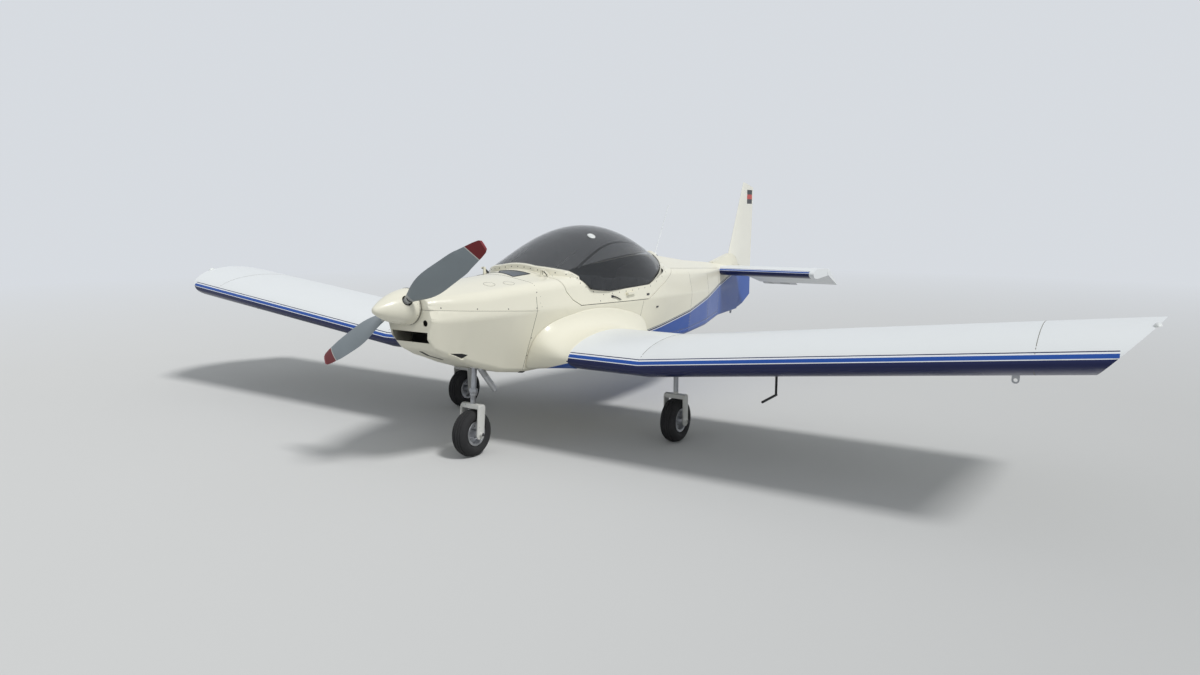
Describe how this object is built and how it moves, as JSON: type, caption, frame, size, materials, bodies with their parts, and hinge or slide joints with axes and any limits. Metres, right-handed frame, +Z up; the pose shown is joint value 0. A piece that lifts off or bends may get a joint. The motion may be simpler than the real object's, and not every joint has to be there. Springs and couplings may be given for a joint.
{
  "type": "ultralight aircraft",
  "caption": "Low-wing ultralight aircraft with a bubble canopy, nose-wheel landing gear, paddle-blade propeller and working control surfaces.",
  "frame": {"origin": "ground level, under the middle of the overall length and span", "axes": "+X forward, +Y to port, +Z up"},
  "size_m": [6.051, 8.147, 2.0877],
  "materials": {
    "white_paint": "gloss paint on sheet metal",
    "cream_paint": "gloss paint on sheet metal",
    "cream_composite": "painted laminate",
    "white_composite": "painted laminate",
    "propeller_grey": "satin composite",
    "bare_aluminium": "milled",
    "steel": "brushed",
    "engine_metal": "dark casting",
    "tyre_rubber": "matte",
    "smoked_glass": "smoke tint",
    "dark_plastic": "matte",
    "seat_cloth": "woven"
  },
  "bodies": {
    "airframe": {"fuselage_cabin": "cream_paint", "fuselage_tail": "cream_paint", "cowl_upper": "cream_composite", "cowl_lower": "cream_composite", "bulkheads": "bare_aluminium", "engine_block": "engine_metal", "exhaust_pipe": "steel", "wing_roots": "white_paint", "wing_port": "white_paint", "wing_starboard": "white_paint", "wing_tips": "white_composite", "wing_fairings": "cream_composite", "stabilizer": "white_paint", "stabilizer_caps": "white_composite", "dorsal_fin": "cream_composite", "canopy_brackets": "steel", "instrument_panel": "dark_plastic", "seat_bench": "seat_cloth", "seats": "seat_cloth", "control_stick": "steel", "nose_leg_bearings": "bare_aluminium", "main_legs": "steel", "tie_down_rings": "steel", "pitot_tube": "dark_plastic", "antenna": "white_composite"},
    "propeller": {"propeller": "propeller_grey", "spinner": "cream_composite"},
    "nose_gear": {"nose_leg": "steel", "nose_fork": "bare_aluminium"},
    "nose_wheel": {"tyre_nose": "tyre_rubber", "hub_nose": "bare_aluminium"},
    "main_wheel_port": {"tyre_port": "tyre_rubber", "hub_port": "bare_aluminium"},
    "main_wheel_starboard": {"tyre_starboard": "tyre_rubber", "hub_starboard": "bare_aluminium"},
    "canopy": {"canopy_glass": "smoked_glass", "canopy_frame": "cream_composite", "canopy_handle": "steel"},
    "aileron_port": {"aileron_port": "white_paint"},
    "aileron_starboard": {"aileron_starboard": "white_paint"},
    "elevator": {"elevator": "white_paint", "elevator_caps": "white_composite", "trim_tab": "white_paint"},
    "rudder": {"rudder": "cream_paint", "rudder_cap": "white_composite"}
  },
  "joints": [
    {"name": "propeller_spin", "type": "hinge", "parent": "airframe", "child": "propeller", "pos_m": [2.8225, 0, 1.143], "axis": [1, 0, 0], "continuous": true},
    {"name": "nose_steer", "type": "hinge", "parent": "airframe", "child": "nose_gear", "pos_m": [2.1615, 0, 0.17], "axis": [-0.1045, 0, 0.9945], "range_deg": [-15, 15]},
    {"name": "nose_wheel_spin", "type": "hinge", "parent": "nose_gear", "child": "nose_wheel", "pos_m": [2.1615, 0, 0.17], "axis": [0, 1, 0], "continuous": true},
    {"name": "main_wheel_port_spin", "type": "hinge", "parent": "airframe", "child": "main_wheel_port", "pos_m": [1.0505, 1.073, 0.17], "axis": [0, 1, 0], "continuous": true},
    {"name": "main_wheel_starboard_spin", "type": "hinge", "parent": "airframe", "child": "main_wheel_starboard", "pos_m": [1.0505, -1.073, 0.17], "axis": [0, 1, 0], "continuous": true},
    {"name": "canopy_tilt", "type": "hinge", "parent": "airframe", "child": "canopy", "pos_m": [1.6605, 0, 1.318], "axis": [0, 1, 0], "range_deg": [0, 50]},
    {"name": "aileron_port_hinge", "type": "hinge", "parent": "airframe", "child": "aileron_port", "pos_m": [0.7274, 1.96, 0.7607], "axis": [0, 0.9938, 0.1113], "range_deg": [-20, 20]},
    {"name": "aileron_starboard_hinge", "type": "hinge", "parent": "airframe", "child": "aileron_starboard", "pos_m": [0.7274, -1.96, 0.7607], "axis": [0, 0.9938, -0.1113], "range_deg": [-20, 20]},
    {"name": "elevator_hinge", "type": "hinge", "parent": "airframe", "child": "elevator", "pos_m": [-2.3885, 0, 1.086], "axis": [0, 1, 0], "range_deg": [0, 56]},
    {"name": "rudder_hinge", "type": "hinge", "parent": "airframe", "child": "rudder", "pos_m": [-2.5065, 0, 0.6], "axis": [-0.1536, 0, 0.9881], "range_deg": [-20, 20]}
  ],
  "couplings": [
    {"joint": "aileron_starboard_hinge", "follows": "aileron_port_hinge", "ratio": -1},
    {"joint": "rudder_hinge", "follows": "nose_steer", "ratio": -1.3333}
  ]
}
